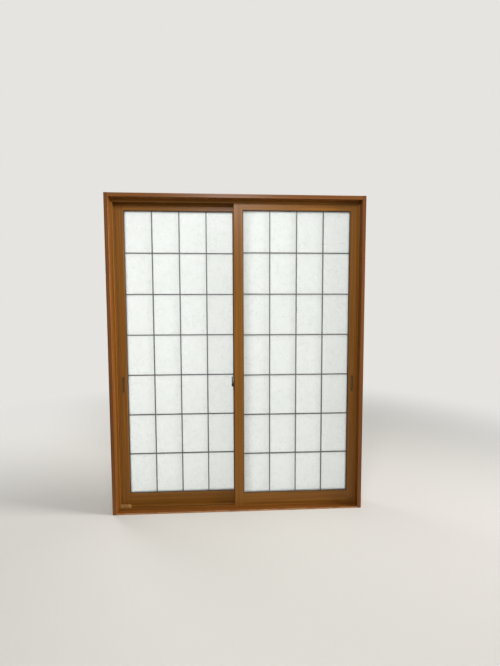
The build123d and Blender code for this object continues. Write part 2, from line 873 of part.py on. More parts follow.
def save(name, shapes):
    """Write the separate solids of a node to one file."""
    solids = [solid for shape in shapes for solid in shape.solids()]
    node = solids[0] if len(solids) == 1 else Compound(children=solids)
    node.label = name
    export_step(node, os.path.join("parts", name + ".step"))


os.makedirs("parts", exist_ok=True)
for group in (frame(), left_sash(), right_sash()):
    for node_name, node_shapes in group.items():
        save(node_name, node_shapes)
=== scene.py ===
"""Shoji-style sliding panels in their frame, dressed for a studio picture.

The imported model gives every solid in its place. This script gives each one the finish of the real
thing, puts cross-head screws and brushed pile where the model has plain solids for them, and sets
up the floor, the lights and the camera.
"""

from __future__ import annotations

import json
import logging
import math
import random
from dataclasses import dataclass, field
from enum import Enum

import bmesh
import bpy
from mathutils import Matrix, Vector

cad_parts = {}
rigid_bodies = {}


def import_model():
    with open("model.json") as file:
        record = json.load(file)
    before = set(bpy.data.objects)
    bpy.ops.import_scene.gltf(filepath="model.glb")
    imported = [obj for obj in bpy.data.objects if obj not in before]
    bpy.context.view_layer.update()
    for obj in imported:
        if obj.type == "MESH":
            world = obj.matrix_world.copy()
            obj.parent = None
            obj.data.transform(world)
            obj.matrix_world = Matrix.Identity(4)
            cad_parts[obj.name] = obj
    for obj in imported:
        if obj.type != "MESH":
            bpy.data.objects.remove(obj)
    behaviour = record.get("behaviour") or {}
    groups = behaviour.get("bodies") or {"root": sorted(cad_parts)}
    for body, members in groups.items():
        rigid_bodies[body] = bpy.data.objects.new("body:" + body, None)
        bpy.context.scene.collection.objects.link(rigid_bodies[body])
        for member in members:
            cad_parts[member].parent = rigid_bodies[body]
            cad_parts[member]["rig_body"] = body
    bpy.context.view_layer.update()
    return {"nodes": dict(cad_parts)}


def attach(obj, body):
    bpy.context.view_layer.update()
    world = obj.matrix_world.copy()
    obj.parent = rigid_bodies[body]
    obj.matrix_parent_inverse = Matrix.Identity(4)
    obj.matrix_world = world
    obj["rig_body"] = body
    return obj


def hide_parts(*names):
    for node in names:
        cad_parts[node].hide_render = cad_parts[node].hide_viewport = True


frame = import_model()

SEED = 7
MICROMETRES = 1e6
# The sRGB curve is a straight line up to its knee, and above it a power with an offset.
SRGB_KNEE = 0.04045
SRGB_SLOPE = 12.92
SRGB_OFFSET = 0.055
SRGB_POWER = 2.4
# The Mix node's sockets for colours: its two inputs and its result.
MIX_A, MIX_B, MIXED = 6, 7, 2
# A noise texture's value lies mostly between these two.
NOISE_LOW, NOISE_HIGH = 0.3, 0.7
# How many finer layers a noise has, from one that only sways to one with small spots.
SMOOTH, CLOUDY, MOTTLED = 1.0, 3.0, 4.0
# A shift moves a pattern by these shares of it along X, Y and Z.
SHIFT_SHARES = (1.0, 0.37, 0.61)

log = logging.getLogger("sliding_panels")


def mm(value: float) -> float:
    """Turn millimetres into metres."""
    return value * 0.001


def linear(hex_color: str) -> tuple[float, float, float, float]:
    """Turn an sRGB hex colour into Blender's linear one.

    Args:
        hex_color: Six hex digits after a hash sign.

    Returns:
        Linear red, green and blue, and an alpha of 1.
    """
    parts = [int(hex_color[i:i + 2], 16) / 255 for i in (1, 3, 5)]
    red, green, blue = (
        c / SRGB_SLOPE if c <= SRGB_KNEE
        else ((c + SRGB_OFFSET) / (1.0 + SRGB_OFFSET)) ** SRGB_POWER for c in parts)
    return red, green, blue, 1.0


def add_node(tree: bpy.types.NodeTree, kind: str, inputs: dict | None = None,
             stops: tuple = (), **settings: object) -> bpy.types.Node:
    """Add one node with its settings and its links.

    Args:
        tree: The node tree that gets the node.
        kind: Blender's name for the type of node.
        inputs: What each input gets, by name or number: a socket to link from, or a value.
        stops: Places and hex colours of a colour ramp.
        settings: The node's own properties.

    Returns:
        The new node.
    """
    node = tree.nodes.new(kind)
    for name, value in settings.items():
        setattr(node, name, value)
    for key, value in (inputs or {}).items():
        if isinstance(value, bpy.types.NodeSocket):
            tree.links.new(value, node.inputs[key])
        else:
            node.inputs[key].default_value = value
    for i, (place, hex_color) in enumerate(stops):
        elements = node.color_ramp.elements
        stop = elements[i] if i < len(elements) else elements.new(place)
        stop.position = place
        stop.color = linear(hex_color)
    return node


@dataclass(frozen=True)
class Figure:
    """One layer of a surface's pattern: how large its marks are and where they lie.

    The size and the shift are in mm, and the lean is in degrees.
    """

    size: tuple[float, float, float]
    detail: float
    shift: float = 0.0
    lean: float = 0.0

    def value(self, tree: bpy.types.NodeTree) -> bpy.types.NodeSocket:
        """Add the pattern's nodes.

        Args:
            tree: The material's node tree.

        Returns:
            A socket that runs from 0 to 1, with marks of the figure's size.
        """
        place = add_node(tree, "ShaderNodeTexCoord").outputs["Object"]
        laid = add_node(tree, "ShaderNodeMapping", {
            "Vector": place, "Location": [mm(self.shift * share) for share in SHIFT_SHARES],
            "Rotation": (0.0, math.radians(self.lean), 0.0), "Scale": [mm(s) for s in self.size]},
            vector_type="TEXTURE")
        noise = add_node(tree, "ShaderNodeTexNoise", {
            "Vector": laid.outputs[0], "Scale": 1.0, "Detail": self.detail})
        return noise.outputs[0]


class Grain(Enum):
    """The way that a member's fibres run."""

    ALONG_X = (1, 0, 0)
    ALONG_Z = (0, 0, 1)

    def marks(self, across: float, along: float) -> tuple[float, float, float]:
        """Give the size of one mark of the grain on each axis, in mm."""
        return tuple(along if runs else across for runs in self.value)


@dataclass(frozen=True)
class Finish:
    """How one real surface looks, made into a material the first time it is asked for."""

    name: str

    def shader(self, tree: bpy.types.NodeTree) -> bpy.types.NodeSocket:
        """Add the finish's nodes and give the shader's socket."""
        raise NotImplementedError

    def material(self) -> bpy.types.Material:
        """Give the finish's material."""
        known = bpy.data.materials.get(self.name)
        if known:
            return known
        made = bpy.data.materials.new(self.name)
        made.use_nodes = True
        made.node_tree.nodes.clear()
        surface = self.shader(made.node_tree)
        add_node(made.node_tree, "ShaderNodeOutputMaterial", {"Surface": surface})
        return made


@dataclass(frozen=True)
class WoodGrain(Finish):
    """A straight-grained wood surface, sawn and finished or printed on a film.

    Growth bands run nearly the length of a member. Finer streaks and pores lie in them, and the
    pores of the real surface, 0.2 mm wide, are drawn 0.6 mm wide so that they show. Each mark's
    size is given across and along the grain, in mm. A lighter band is painted along a front edge,
    whose place along Y is given in mm, and fades out over its depth: a painted highlight for the
    light that the edge catches.
    """

    grain: Grain
    shift: float
    dark: str
    middle: str
    light: str
    cut_end: str
    band: tuple[float, float]
    streak: tuple[float, float]
    roughness: tuple[float, float]
    relief: float
    pore: tuple[float, float] = (0.6, 12.0)
    shares: tuple[float, float, float] = (0.62, 0.26, 0.12)
    details: tuple[float, float, float] = (3.0, 2.0, 1.0)
    tones: tuple[float, float, float] = (0.32, 0.5, 0.66)
    relief_strength: float = 0.6
    shine: float = 0.24
    end_cosine: float = 0.8
    # The fields below paint a lighter band along a front edge: a painted highlight where the edge
    # catches the light.
    wear_and_highlight_from: float | None = None
    highlight_depth: float = 5.0
    highlight_marks: tuple[float, float, float] = (46.0, 9.0, 9.0)
    highlight_inside: float = -0.6
    highlight_at_edge: float = 0.3
    wear_and_highlight_window: tuple[float, float] = (0.4, 1.1)
    # Colour of the painted highlight on the front edge.
    wear_and_highlight: str = "#B98A60"

    def layers(self, tree: bpy.types.NodeTree) -> bpy.types.NodeSocket:
        """Lay bands, streaks and pores over each other as one value from 0 to 1."""
        parts = []
        for mark, share, detail in zip((self.band, self.streak, self.pore), self.shares,
                                       self.details):
            figure = Figure(self.grain.marks(*mark), detail, self.shift)
            parts.append(add_node(tree, "ShaderNodeMath", {0: figure.value(tree), 1: share},
                                  operation="MULTIPLY").outputs[0])
        both = add_node(tree, "ShaderNodeMath", {0: parts[0], 1: parts[1]}, operation="ADD")
        return add_node(tree, "ShaderNodeMath", {0: both.outputs[0], 1: parts[2]},
                        operation="ADD").outputs[0]

    def end_share(self, tree: bpy.types.NodeTree) -> bpy.types.NodeSocket:
        """Give 1 where the surface is cut across the grain and 0 elsewhere."""
        normal = add_node(tree, "ShaderNodeTexCoord").outputs["Normal"]
        along = add_node(tree, "ShaderNodeVectorMath", {0: normal, 1: self.grain.value},
                         operation="DOT_PRODUCT").outputs["Value"]
        size = add_node(tree, "ShaderNodeMath", {0: along}, operation="ABSOLUTE").outputs[0]
        return add_node(tree, "ShaderNodeMath", {0: size, 1: self.end_cosine},
                        operation="GREATER_THAN").outputs[0]

    def highlight_share(self, tree: bpy.types.NodeTree) -> bpy.types.NodeSocket:
        """Give the share of the painted highlight along the front edge nearest the room."""
        place = add_node(tree, "ShaderNodeTexCoord").outputs["Object"]
        depth = add_node(tree, "ShaderNodeSeparateXYZ", {0: place}).outputs["Y"]
        # A mottle that breaks up the edge of the painted highlight.
        rubbed_and_lit = Figure(self.highlight_marks, MOTTLED, self.shift).value(tree)
        near = add_node(tree, "ShaderNodeMapRange", {
            "Value": depth, "From Min": mm(self.wear_and_highlight_from + self.highlight_depth),
            "From Max": mm(self.wear_and_highlight_from), "To Min": self.highlight_inside,
            "To Max": self.highlight_at_edge})
        total = add_node(tree, "ShaderNodeMath", {0: near.outputs[0], 1: rubbed_and_lit},
                         operation="ADD")
        return add_node(tree, "ShaderNodeMapRange", {
            "Value": total.outputs[0], "From Min": self.wear_and_highlight_window[0],
            "From Max": self.wear_and_highlight_window[1]}).outputs[0]

    def shader(self, tree: bpy.types.NodeTree) -> bpy.types.NodeSocket:
        """Add the grain, its relief, the cut ends and the painted highlight on the front edge."""
        grain = self.layers(tree)
        face = add_node(tree, "ShaderNodeValToRGB", {"Fac": grain}, stops=tuple(
            zip(self.tones, (self.dark, self.middle, self.light))))
        ends = self.end_share(tree)
        color = add_node(tree, "ShaderNodeMix", {
            "Factor": ends, MIX_A: face.outputs[0], MIX_B: linear(self.cut_end)},
            data_type="RGBA")
        # Painted highlight: a lighter band along the front edge.
        if self.wear_and_highlight_from is not None:
            color = add_node(tree, "ShaderNodeMix", {
                "Factor": self.highlight_share(tree), MIX_A: color.outputs[MIXED],
                MIX_B: linear(self.wear_and_highlight)}, data_type="RGBA")
        rough = add_node(tree, "ShaderNodeMapRange", {
            "Value": grain, "From Min": NOISE_LOW, "From Max": NOISE_HIGH,
            "To Min": self.roughness[1], "To Max": self.roughness[0]})
        bump = add_node(tree, "ShaderNodeBump", {
            "Height": grain, "Distance": mm(self.relief), "Strength": self.relief_strength})
        return add_node(tree, "ShaderNodeBsdfPrincipled", {
            "Base Color": color.outputs[MIXED], "Roughness": rough.outputs[0],
            "Normal": bump.outputs[0], "Specular IOR Level": self.shine}).outputs[0]


@dataclass(frozen=True)
class StainedSpruce(WoodGrain):
    """Sawn and planed spruce, stained and varnished: reddish brown, soft bands, a satin coat."""

    dark: str = "#583010"
    middle: str = "#6E4015"
    light: str = "#835220"
    cut_end: str = "#4A2B12"
    band: tuple[float, float] = (9.0, 900.0)
    streak: tuple[float, float] = (1.8, 160.0)
    roughness: tuple[float, float] = (0.3, 0.42)
    relief: float = 0.12


@dataclass(frozen=True)
class OakFilm(WoodGrain):
    """An extruded resin profile wrapped in a printed oak film.

    The print is yellower and more even than the boards, with a fine embossed pore and a satin
    sheen, and the saw-cut ends show the brown resin.
    """

    dark: str = "#6A4312"
    middle: str = "#7E4F16"
    light: str = "#915F22"
    cut_end: str = "#523413"
    band: tuple[float, float] = (7.0, 700.0)
    streak: tuple[float, float] = (1.4, 110.0)
    roughness: tuple[float, float] = (0.34, 0.44)
    relief: float = 0.05


@dataclass(frozen=True)
class FloatGlass(Finish):
    """Clear float glass: a faint green tint, mirror-smooth, and lamps shine through it."""

    tint: str = "#FDFEFD"
    ior: float = 1.52

    def shader(self, tree: bpy.types.NodeTree) -> bpy.types.NodeSocket:
        """Add the glass, clear to the rays that carry lamp light."""
        glass = add_node(tree, "ShaderNodeBsdfPrincipled", {
            "Base Color": linear(self.tint), "Roughness": 0.0, "IOR": self.ior,
            "Transmission Weight": 1.0})
        clear = add_node(tree, "ShaderNodeBsdfTransparent", {"Color": linear(self.tint)})
        path = add_node(tree, "ShaderNodeLightPath")
        lamp = add_node(tree, "ShaderNodeMath", {
            0: path.outputs["Is Shadow Ray"], 1: path.outputs["Is Diffuse Ray"]},
            operation="MAXIMUM")
        return add_node(tree, "ShaderNodeMixShader", {
            0: lamp.outputs[0], 1: glass.outputs[0], 2: clear.outputs[0]}).outputs[0]


@dataclass(frozen=True)
class FibreFamily:
    """Fibres that lean one way.

    The lean is in degrees, the shift is the place in the pattern in mm, and the half width is a
    share of a cell.
    """

    lean: float
    shift: float
    half_width: float
    shade: str


@dataclass(frozen=True)
class FibreGlass(Finish):
    """Obscure glass laminated with white paper film, in which long fibres lie.

    The film scatters light, so the pane glows evenly when lit from behind. The fibres are 1 to
    3 mm wide and 20 to 70 mm long and lie every way, some whiter and some greyer than the film.
    They follow the borders of cells that sway, and break off where a noise is below a limit. All
    sizes are in mm, and a share of the light passes through the film.
    """

    shift: float
    film: str = "#F5F7F7"
    families: tuple[FibreFamily, ...] = (
        FibreFamily(7.0, 310.0, 0.026, "#FEFEFE"),
        FibreFamily(-14.0, 870.0, 0.022, "#FEFEFE"),
        FibreFamily(4.0, 1430.0, 0.020, "#E3E5E2"),
        FibreFamily(24.0, 2110.0, 0.015, "#E3E5E2"),
    )
    cell: tuple[float, float] = (30.0, 56.0)
    sway: float = 26.0
    sway_marks: tuple[float, float, float] = (45.0, 45.0, 45.0)
    break_marks: tuple[float, float, float] = (30.0, 30.0, 42.0)
    break_below: float = 0.53
    passes: float = 0.75
    roughness: float = 0.3
    ior: float = 1.5

    def fibres(self, tree: bpy.types.NodeTree, family: FibreFamily) -> bpy.types.NodeSocket:
        """Draw one family of fibres: the borders of bent cells, broken into lengths.

        Args:
            tree: The material's node tree.
            family: The fibres to draw.

        Returns:
            A socket that is 1 on a fibre and 0 beside it.
        """
        place = add_node(tree, "ShaderNodeTexCoord").outputs["Object"]
        sway = Figure(self.sway_marks, SMOOTH, self.shift + family.shift).value(tree)
        bend = add_node(tree, "ShaderNodeMath", {
            0: sway, 1: mm(self.sway), 2: mm(family.shift)}, operation="MULTIPLY_ADD")
        part = add_node(tree, "ShaderNodeSeparateXYZ", {0: place})
        across = add_node(tree, "ShaderNodeMath", {0: part.outputs["X"], 1: bend.outputs[0]},
                          operation="ADD")
        flat = add_node(tree, "ShaderNodeCombineXYZ", {
            "X": across.outputs[0], "Y": part.outputs["Z"]})
        laid = add_node(tree, "ShaderNodeMapping", {
            "Vector": flat.outputs[0], "Rotation": (0.0, 0.0, math.radians(family.lean)),
            "Scale": (mm(self.cell[0]), mm(self.cell[1]), 1.0)}, vector_type="TEXTURE")
        cells = add_node(tree, "ShaderNodeTexVoronoi", {"Vector": laid.outputs[0], "Scale": 1.0},
                         voronoi_dimensions="2D", feature="DISTANCE_TO_EDGE")
        line = add_node(tree, "ShaderNodeMath", {
            0: cells.outputs["Distance"], 1: family.half_width}, operation="LESS_THAN")
        gate = Figure(self.break_marks, SMOOTH, self.shift - family.shift,
                      -family.lean).value(tree)
        kept = add_node(tree, "ShaderNodeMath", {0: gate, 1: self.break_below},
                        operation="GREATER_THAN")
        return add_node(tree, "ShaderNodeMath", {0: line.outputs[0], 1: kept.outputs[0]},
                        operation="MULTIPLY").outputs[0]

    def shader(self, tree: bpy.types.NodeTree) -> bpy.types.NodeSocket:
        """Add the film, its fibres and the light that comes through."""
        color: object = linear(self.film)
        for family in self.families:
            color = add_node(tree, "ShaderNodeMix", {
                "Factor": self.fibres(tree, family), MIX_A: color, MIX_B: linear(family.shade)},
                data_type="RGBA").outputs[MIXED]
        face = add_node(tree, "ShaderNodeBsdfPrincipled", {
            "Base Color": color, "Roughness": self.roughness, "IOR": self.ior})
        through = add_node(tree, "ShaderNodeBsdfTranslucent", {"Color": color})
        return add_node(tree, "ShaderNodeMixShader", {
            0: self.passes, 1: face.outputs[0], 2: through.outputs[0]}).outputs[0]


@dataclass(frozen=True)
class Moulding(Finish):
    """A moulded or painted surface: one colour with slight clouds in it and a fine skin.

    The size of the clouds and of the skin's marks and the relief's depth are in mm.
    """

    dark: str
    light: str
    clouds: float
    skin: float
    relief: float
    roughness: tuple[float, float]
    sheen: float = 0.0
    tones: tuple[float, float] = (0.35, 0.65)
    relief_strength: float = 0.5

    def shader(self, tree: bpy.types.NodeTree) -> bpy.types.NodeSocket:
        """Add the clouds, the skin and the gloss."""
        clouds = Figure((self.clouds,) * 3, CLOUDY).value(tree)
        skin = Figure((self.skin,) * 3, SMOOTH).value(tree)
        color = add_node(tree, "ShaderNodeValToRGB", {"Fac": clouds}, stops=tuple(
            zip(self.tones, (self.dark, self.light))))
        rough = add_node(tree, "ShaderNodeMapRange", {
            "Value": clouds, "From Min": NOISE_LOW, "From Max": NOISE_HIGH,
            "To Min": self.roughness[0], "To Max": self.roughness[1]})
        bump = add_node(tree, "ShaderNodeBump", {
            "Height": skin, "Distance": mm(self.relief), "Strength": self.relief_strength})
        return add_node(tree, "ShaderNodeBsdfPrincipled", {
            "Base Color": color.outputs[0], "Roughness": rough.outputs[0],
            "Normal": bump.outputs[0], "Sheen Weight": self.sheen}).outputs[0]


@dataclass(frozen=True)
class DrawnMetal(Finish):
    """Bare, anodised or zinc-plated metal with fine lines along the way it was drawn."""

    dark: str
    light: str
    grain: Grain = Grain.ALONG_X
    line: tuple[float, float] = (0.8, 260.0)
    roughness: tuple[float, float] = (0.3, 0.46)
    relief: float = 0.03
    relief_strength: float = 0.4

    def shader(self, tree: bpy.types.NodeTree) -> bpy.types.NodeSocket:
        """Add the drawn lines and the metal."""
        lines = Figure(self.grain.marks(*self.line), CLOUDY).value(tree)
        color = add_node(tree, "ShaderNodeValToRGB", {"Fac": lines}, stops=(
            (NOISE_LOW, self.dark), (NOISE_HIGH, self.light)))
        rough = add_node(tree, "ShaderNodeMapRange", {
            "Value": lines, "From Min": NOISE_LOW, "From Max": NOISE_HIGH,
            "To Min": self.roughness[0], "To Max": self.roughness[1]})
        bump = add_node(tree, "ShaderNodeBump", {
            "Height": lines, "Distance": mm(self.relief), "Strength": self.relief_strength})
        return add_node(tree, "ShaderNodeBsdfPrincipled", {
            "Base Color": color.outputs[0], "Metallic": 1.0, "Roughness": rough.outputs[0],
            "Normal": bump.outputs[0]}).outputs[0]


@dataclass(frozen=True)
class WornEnamel(Finish):
    """Dark bronze enamel on cast zinc, rubbed lighter and smoother where fingers push it.

    The wear grows from one height on the lever to another, both in mm above the floor.
    """

    enamel: str = "#1F1B13"
    rubbed_and_lit: str = "#463F2E"
    wear_and_highlight_from: float = 820.0
    worn_to: float = 868.0
    worn_below: float = -0.25
    worn_above: float = 0.18
    wear_and_highlight_window: tuple[float, float] = (0.52, 0.68)
    spot: float = 5.0
    roughness: tuple[float, float] = (0.3, 0.42)
    peel: float = 1.6
    relief: float = 0.03
    relief_strength: float = 0.4
    shine: float = 0.3

    def shader(self, tree: bpy.types.NodeTree) -> bpy.types.NodeSocket:
        """Add the enamel and the wear, which grows towards the lever's tip."""
        place = add_node(tree, "ShaderNodeTexCoord").outputs["Object"]
        height = add_node(tree, "ShaderNodeSeparateXYZ", {0: place}).outputs["Z"]
        reach = add_node(tree, "ShaderNodeMapRange", {
            "Value": height, "From Min": mm(self.wear_and_highlight_from), "From Max": mm(self.worn_to),
            "To Min": self.worn_below, "To Max": self.worn_above})
        spots = Figure((self.spot,) * 3, MOTTLED).value(tree)
        total = add_node(tree, "ShaderNodeMath", {0: spots, 1: reach.outputs[0]}, operation="ADD")
        wear_and_highlight = add_node(tree, "ShaderNodeMapRange", {
            "Value": total.outputs[0], "From Min": self.wear_and_highlight_window[0],
            "From Max": self.wear_and_highlight_window[1]})
        color = add_node(tree, "ShaderNodeMix", {
            "Factor": wear_and_highlight.outputs[0], MIX_A: linear(self.enamel), MIX_B: linear(self.rubbed_and_lit)},
            data_type="RGBA")
        rough = add_node(tree, "ShaderNodeMapRange", {
            "Value": wear_and_highlight.outputs[0], "To Min": self.roughness[1], "To Max": self.roughness[0]})
        peel = Figure((self.peel,) * 3, SMOOTH).value(tree)
        bump = add_node(tree, "ShaderNodeBump", {
            "Height": peel, "Distance": mm(self.relief), "Strength": self.relief_strength})
        return add_node(tree, "ShaderNodeBsdfPrincipled", {
            "Base Color": color.outputs[MIXED], "Roughness": rough.outputs[0],
            "Normal": bump.outputs[0], "Specular IOR Level": self.shine}).outputs[0]


# Float glass 3 mm thick, polished by fire: only its reflections and a green tint show.
CLEAR_GLASS = FloatGlass("float_glass_clear")
# Dark grey satin paint baked on thin steel bars, slightly uneven like any sprayed coat.
LATTICE_PAINT = Moulding("satin_paint_on_steel_bars", "#444643", "#4F514E", clouds=60.0, skin=1.2,
                         relief=0.02, roughness=(0.36, 0.46))
# Extruded rubber, brown to match the film: dull, with a fine dusty bloom.
GLAZING_RUBBER = Moulding("glazing_rubber_extruded", "#35240F", "#402C15", clouds=22.0, skin=0.6,
                          relief=0.03, roughness=(0.55, 0.7))
# Moulded rubber pads: darker, dull and slightly mottled.
BUFFER_RUBBER = Moulding("buffer_rubber_moulded", "#2B2118", "#3A2E22", clouds=18.0, skin=0.8,
                         relief=0.05, roughness=(0.6, 0.75))
# Injection-moulded resins: even colour, a spark-eroded skin and a low sheen.
PULL_RESIN = Moulding("pull_resin_moulded", "#6A4517", "#79521E", clouds=24.0, skin=0.7,
                      relief=0.04, roughness=(0.4, 0.5))
STOP_RESIN = Moulding("stop_resin_moulded", "#7F5A2E", "#926A3A", clouds=24.0, skin=0.7,
                      relief=0.05, roughness=(0.45, 0.55))
NYLON = Moulding("nylon_moulded", "#C4BEAF", "#D6D0C2", clouds=12.0, skin=0.6, relief=0.03,
                 roughness=(0.4, 0.52))
# Mohair pile: dull, soft, and brighter at the rim where its hairs catch the light.
PILE = Moulding("mohair_pile_brushed", "#4A3012", "#644419", clouds=2.4, skin=0.6, relief=0.3,
                roughness=(0.85, 0.95), sheen=0.03)
# Bronze-anodised aluminium runners show the die's lines; the mill-finished spacer is brighter.
RUNNER_METAL = DrawnMetal("aluminium_bronze_anodised", "#6E4C2C", "#8B6640")
SPACER_METAL = DrawnMetal("aluminium_mill_finished", "#B4B5B5", "#D2D3D2", Grain.ALONG_Z,
                          line=(1.0, 180.0), roughness=(0.26, 0.4))
# Zinc plate on pressed steel: cool grey with short rolling lines.
ZINC_STEEL = DrawnMetal("steel_zinc_plated", "#A3A4A1", "#C6C7C3", line=(0.7, 9.0),
                        roughness=(0.28, 0.44))
# Enamel baked on a zinc casting: nearly black, with a dull gleam and bronze where it is rubbed.
LOCK_ENAMEL = WornEnamel("bronze_enamel_on_cast_zinc")


def dress(node: str, finish: Finish) -> None:
    """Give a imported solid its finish.

    Args:
        node: The solid's name.
        finish: The finish that covers all of it.
    """
    mesh = frame["nodes"][node].data
    mesh.materials.clear()
    mesh.materials.append(finish.material())
    log.info("dressed %s in %s", node, finish.name)


def islands(node: str) -> list[list[Vector]]:
    """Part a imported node's corners into its separate solids.

    Args:
        node: The node's name.

    Returns:
        One list of corner points for each solid.
    """
    mesh = frame["nodes"][node].data
    names = [tuple(round(c * MICROMETRES) for c in v.co) for v in mesh.vertices]
    root = {name: name for name in names}

    def top(name: tuple) -> tuple:
        """Follow a point up to the one that stands for its solid."""
        while root[name] != name:
            root[name] = root[root[name]]
            name = root[name]
        return name

    for edge in mesh.edges:
        first, second = (top(names[i]) for i in edge.vertices)
        root[first] = second
    found: dict[tuple, list[Vector]] = {}
    for name, vertex in zip(names, mesh.vertices):
        found.setdefault(top(name), []).append(vertex.co.copy())
    return [found[key] for key in sorted(found)]


def extent(points: list[Vector]) -> tuple[Vector, Vector]:
    """Give the lowest and highest corner of a list of points."""
    low = Vector([min(p[i] for p in points) for i in range(3)])
    high = Vector([max(p[i] for p in points) for i in range(3)])
    return low, high


def add_piece(name: str, bm: bmesh.types.BMesh, finish: Finish, node: str,
              crease: float = 40.0) -> bpy.types.Object:
    """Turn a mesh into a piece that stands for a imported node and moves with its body.

    Args:
        name: The new piece's name.
        bm: Its mesh, in the row frame, which is freed.
        finish: Its finish.
        node: The node that it stands for.
        crease: Edges sharper than this, in degrees, stay sharp.

    Returns:
        The new object.
    """
    bmesh.ops.recalc_face_normals(bm, faces=bm.faces)
    for face in bm.faces:
        face.smooth = True
    for edge in bm.edges:
        edge.smooth = edge.calc_face_angle(0.0) < math.radians(crease)
    mesh = bpy.data.meshes.new(name)
    bm.to_mesh(mesh)
    bm.free()
    mesh.materials.append(finish.material())
    piece = bpy.data.objects.new(name, mesh)
    bpy.context.scene.collection.objects.link(piece)
    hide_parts(node)
    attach(piece, frame["nodes"][node]["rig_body"])
    log.info("built %s with %d faces", name, len(mesh.polygons))
    return piece


@dataclass
class CrossHeadScrews:
    """The screws of one node, with a cross recess in each head and a thread on each shank.

    The ridge of the thread takes up a share of its pitch either side of its crest, and the point
    ends at a share of the shank's radius.
    """

    node: str
    head_radius: float = mm(4.0)
    head_depth: float = mm(2.0)
    rim: float = mm(0.25)
    shank_radius: float = mm(2.0)
    root_radius: float = mm(1.45)
    pitch: float = mm(1.8)
    ridge_share: float = 0.25
    plain_share: float = 0.28
    point: float = mm(5.0)
    tip_share: float = 0.12
    recess_reach: float = mm(2.1)
    recess_half: float = mm(0.5)
    recess_depth: float = mm(1.3)
    recess_taper: float = 0.5
    sides: int = 12
    rings_per_turn: int = 4

    def ring(self, bm: bmesh.types.BMesh, place: Matrix, z: float,
             radii: list[float]) -> list[bmesh.types.BMVert]:
        """Add one ring of corners round the screw's axis."""
        step = 2 * math.pi / self.sides
        return [bm.verts.new(place @ Vector((r * math.cos(i * step), r * math.sin(i * step), z)))
                for i, r in enumerate(radii)]

    def cross(self, bm: bmesh.types.BMesh, place: Matrix, z: float,
              scale: float) -> list[bmesh.types.BMVert]:
        """Add the recess's twelve-cornered outline at one depth."""
        reach, half = self.recess_reach * scale, self.recess_half * scale
        corners = []
        for turn in range(4):
            c, s = math.cos(turn * math.pi / 2), math.sin(turn * math.pi / 2)
            for x, y in ((reach, -half), (reach, half), (half, half)):
                corners.append(bm.verts.new(place @ Vector((x * c - y * s, x * s + y * c, z))))
        return corners

    def thread_radii(self, z: float, length: float) -> list[float]:
        """Work out the shank's radius round one ring.

        Args:
            z: The ring's distance from the head's face.
            length: The screw's length.

        Returns:
            One radius for each side.
        """
        start = self.head_depth + (length - self.head_depth) * self.plain_share
        taper = min(1.0, max(self.tip_share, (length - z) / self.point))
        radii = []
        for i in range(self.sides):
            phase = ((z - start) / self.pitch - i / self.sides) % 1.0
            crest = max(0.0, 1.0 - abs(phase - 0.5) / self.ridge_share)
            depth = self.root_radius + (self.shank_radius - self.root_radius) * crest
            radii.append((depth if z > start else self.shank_radius) * taper)
        return radii

    def add_screw(self, bm: bmesh.types.BMesh, place: Matrix, length: float) -> None:
        """Add one screw, its head's face at the place's origin and its point along +Z."""
        rims = [self.ring(bm, place, z, [r] * self.sides) for z, r in (
            (0.0, self.head_radius - self.rim), (self.rim / 2, self.head_radius),
            (self.head_depth, self.shank_radius))]
        z = self.head_depth
        while z < length - self.pitch / self.rings_per_turn:
            z += self.pitch / self.rings_per_turn
            rims.append(self.ring(bm, place, min(z, length), self.thread_radii(z, length)))
        mouth = self.cross(bm, place, 0.0, 1.0)
        floor = self.cross(bm, place, self.recess_depth, self.recess_taper)
        edges = []
        for loop in (rims[0], mouth):
            edges += [bm.edges.new((loop[i - 1], loop[i])) for i in range(len(loop))]
        bmesh.ops.triangle_fill(bm, edges=edges, use_beauty=True)
        for upper, lower in [(mouth, floor), *zip(rims, rims[1:])]:
            for i in range(len(upper)):
                bm.faces.new((upper[i - 1], upper[i], lower[i], lower[i - 1]))
        bm.faces.new(floor)
        bm.faces.new(rims[-1])

    def build(self) -> None:
        """Build a detailed screw where the node has each of its plain ones."""
        bm = bmesh.new()
        for points in islands(self.node):
            low, high = extent(points)
            size = high - low
            along = max(range(3), key=lambda i: size[i])
            middle = (low + high) / 2
            reach = {}
            for end in (low[along], high[along]):
                near = [p for p in points if abs(p[along] - end) < self.rim]
                reach[end] = max((p - middle).length for p in near)
            head = max(reach, key=reach.get)
            drive = Vector((0.0, 0.0, 0.0))
            drive[along] = 1.0 if head == low[along] else -1.0
            start = middle.copy()
            start[along] = head
            place = Matrix.Translation(start) @ drive.to_track_quat("Z", "Y").to_matrix().to_4x4()
            self.add_screw(bm, place, size[along])
        add_piece(self.node + "_cross_head", bm, ZINC_STEEL, self.node)


